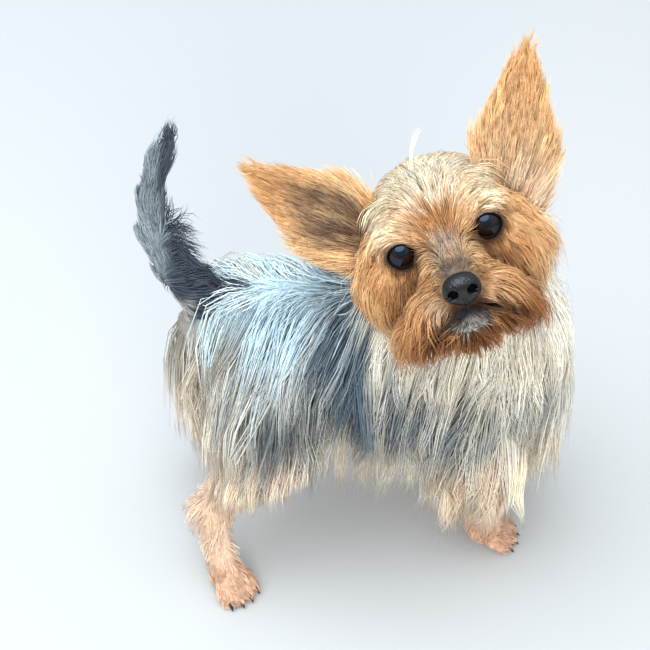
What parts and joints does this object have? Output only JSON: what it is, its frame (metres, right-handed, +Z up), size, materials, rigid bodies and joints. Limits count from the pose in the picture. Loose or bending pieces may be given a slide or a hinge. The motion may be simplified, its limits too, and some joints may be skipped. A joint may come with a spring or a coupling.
{
  "type": "yorkshire terrier model, standing and looking up",
  "caption": "Life-size still model of a small long-coated terrier standing on its paws, head turned to its right and tilted up, tail raised",
  "frame": {"origin": "on the floor, at the middle of the outline seen from above", "axes": "+X forward along the trunk, +Y to the dog's left, +Z up; the paws stand on z = 0"},
  "size_m": [0.2368, 0.1536, 0.3335],
  "materials": {
    "gold_coat": "long silky hair, pale gold",
    "russet_coat": "silky hair, rusty tan",
    "cream_coat": "long silky hair, cream to grey-beige",
    "steel_coat": "long silky hair, steel blue to silver",
    "peach_coat": "short hair, peach tan",
    "nose_leather": "moist black skin",
    "eyes": "wet and glossy, dark brown",
    "claws": "dark horn, worn"
  },
  "bodies": {
    "root": {"bib": "cream_coat", "chin": "russet_coat", "ear_left": "russet_coat", "ear_right": "russet_coat", "eye_left": "eyes", "eye_right": "eyes", "foreleg_left": "peach_coat", "foreleg_right": "peach_coat", "forepaw_left": "peach_coat", "forepaw_left_claw_1": "claws", "forepaw_left_claw_2": "claws", "forepaw_left_claw_3": "claws", "forepaw_left_claw_4": "claws", "forepaw_right": "peach_coat", "forepaw_right_claw_1": "claws", "forepaw_right_claw_2": "claws", "forepaw_right_claw_3": "claws", "forepaw_right_claw_4": "claws", "head": "gold_coat", "hindleg_left": "peach_coat", "hindleg_right": "peach_coat", "hindpaw_left": "peach_coat", "hindpaw_left_claw_1": "claws", "hindpaw_left_claw_2": "claws", "hindpaw_left_claw_3": "claws", "hindpaw_left_claw_4": "claws", "hindpaw_right": "peach_coat", "hindpaw_right_claw_1": "claws", "hindpaw_right_claw_2": "claws", "hindpaw_right_claw_3": "claws", "hindpaw_right_claw_4": "claws", "muzzle": "russet_coat", "neck": "cream_coat", "nose": "nose_leather", "shoulder_left": "steel_coat", "shoulder_right": "steel_coat", "tail": "steel_coat", "tail_feathering": "steel_coat", "thigh_left": "steel_coat", "thigh_right": "steel_coat", "trunk_front": "steel_coat", "trunk_rear": "steel_coat"}
  },
  "joints": []
}
